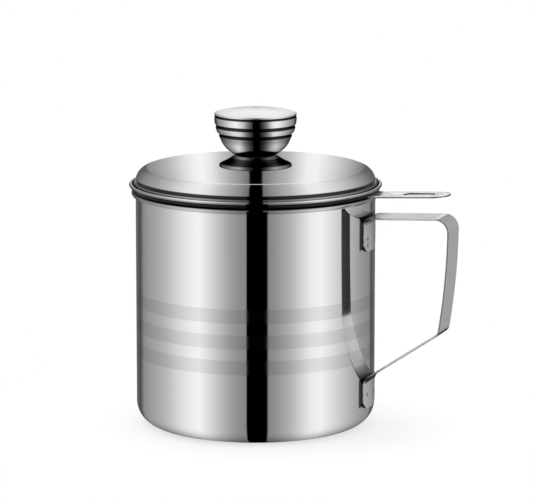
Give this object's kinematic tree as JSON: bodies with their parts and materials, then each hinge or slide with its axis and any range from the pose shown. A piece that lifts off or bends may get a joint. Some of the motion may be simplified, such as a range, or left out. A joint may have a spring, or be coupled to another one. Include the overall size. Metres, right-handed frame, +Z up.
{
  "type": "bacon grease container",
  "caption": "Round polished steel pot with a bent strap handle, a lift-out mesh strainer with a slotted tab, and a domed lid with a flared knob.",
  "frame": {"origin": "middle of the pot's flat underside", "axes": "+Z up along the pot's axis, +X towards the handle and the strainer's tab"},
  "size_m": [0.1669, 0.1266, 0.1601],
  "materials": {
    "mirror_steel": "mirror polished stainless sheet with faint polishing lines and satin bands",
    "polished_steel": "polished stainless sheet",
    "satin_steel": "satin stainless strip",
    "tumbled_steel": "tumbled satin stainless strap, slightly mottled",
    "mesh_steel": "woven stainless wire",
    "fastener_steel": "plated steel",
    "boss_plastic": "moulded black plastic"
  },
  "bodies": {
    "pot": {"pot_body": "mirror_steel", "pot_handle": "tumbled_steel"},
    "strainer": {"strainer_cup": "polished_steel", "strainer_mesh": "mesh_steel", "strainer_mesh_ring": "polished_steel", "strainer_tab": "satin_steel"},
    "lid": {"lid_shell": "mirror_steel", "knob_collar": "mirror_steel", "knob_bowl": "mirror_steel", "knob_cap": "mirror_steel", "knob_insert": "boss_plastic", "knob_screw": "fastener_steel", "knob_washer": "fastener_steel", "knob_lock_washer": "fastener_steel"}
  },
  "joints": [
    {"name": "strainer_lift", "type": "slide", "parent": "pot", "child": "strainer", "axis": [0, 0, 1], "range_m": [0, 0.04]},
    {"name": "lid_lift", "type": "slide", "parent": "strainer", "child": "lid", "axis": [0, 0, 1], "range_m": [0, 0.025]}
  ]
}
